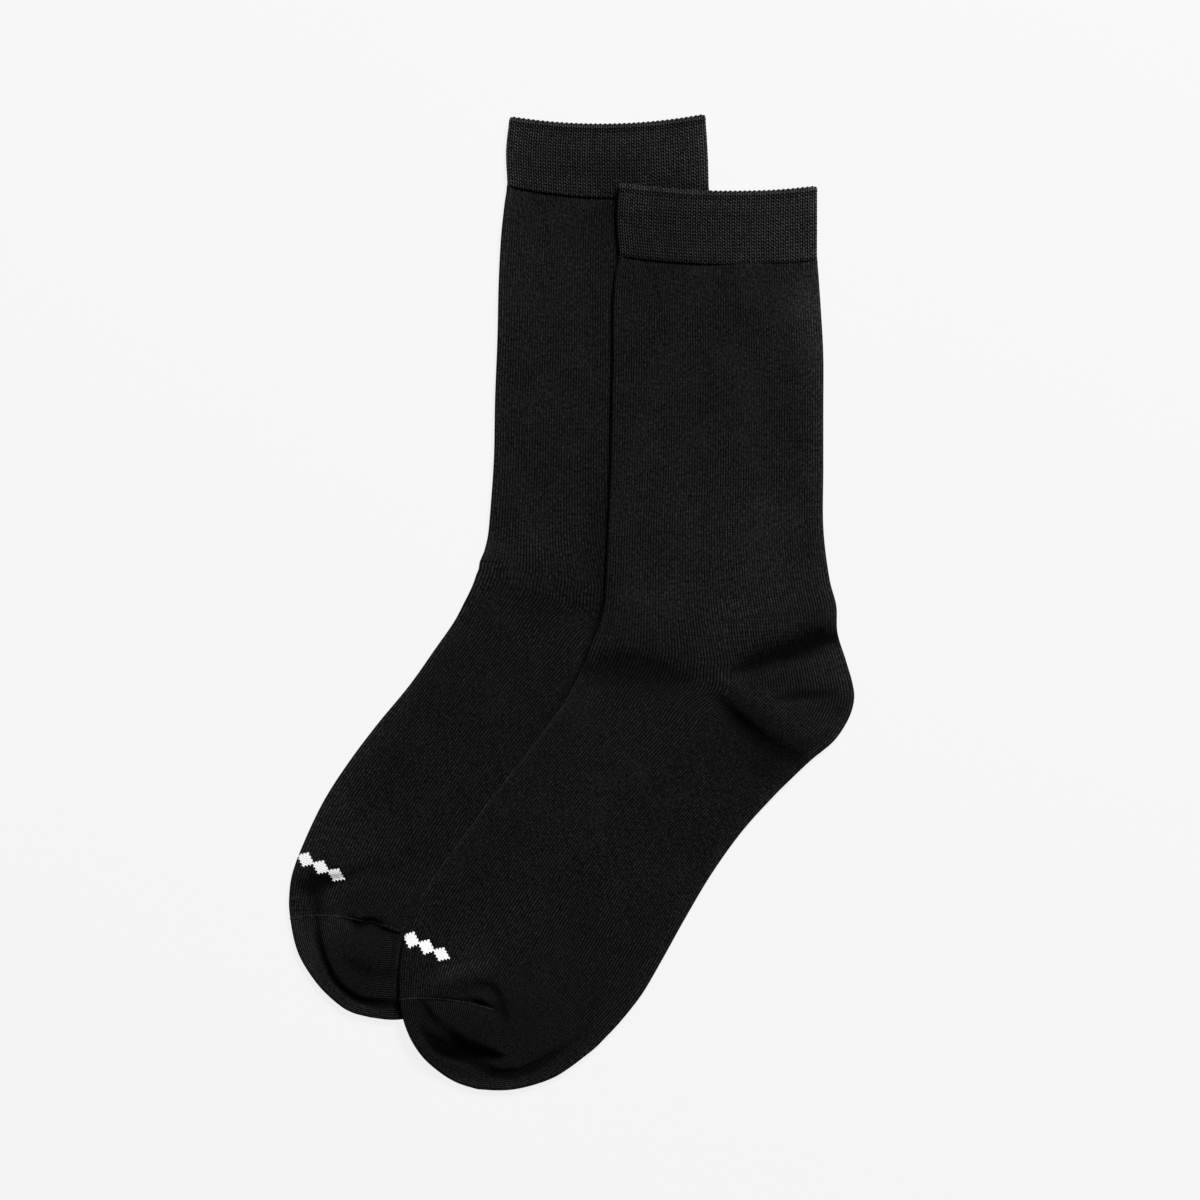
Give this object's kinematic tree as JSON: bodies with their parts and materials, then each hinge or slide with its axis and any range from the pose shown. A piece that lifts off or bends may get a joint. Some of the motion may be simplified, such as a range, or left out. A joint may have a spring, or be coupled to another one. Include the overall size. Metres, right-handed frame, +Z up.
{
  "type": "pair of socks",
  "caption": "Pair of plain black fine-knit crew socks laid flat on their sides, overlapping, with ribbed cuffs, short-row heel pockets and linked toes.",
  "frame": {"origin": "middle of the pair's plan, on the surface that the socks lie on", "axes": "+Z up from the surface; +Y along the legs, towards the mouths; +X across, towards the heels"},
  "size_m": [0.24, 0.4144, 0.0077],
  "materials": {
    "cuff_rib": "matt black double-layer mock-rib cotton knit with fine upright ribs",
    "jersey": "matt black fine single-jersey cotton knit with a faint fuzz"
  },
  "bodies": {
    "root": {"lower_cuff": "cuff_rib", "lower_body": "jersey", "lower_toe": "jersey", "upper_cuff": "cuff_rib", "upper_body": "jersey", "upper_toe": "jersey"}
  },
  "joints": []
}
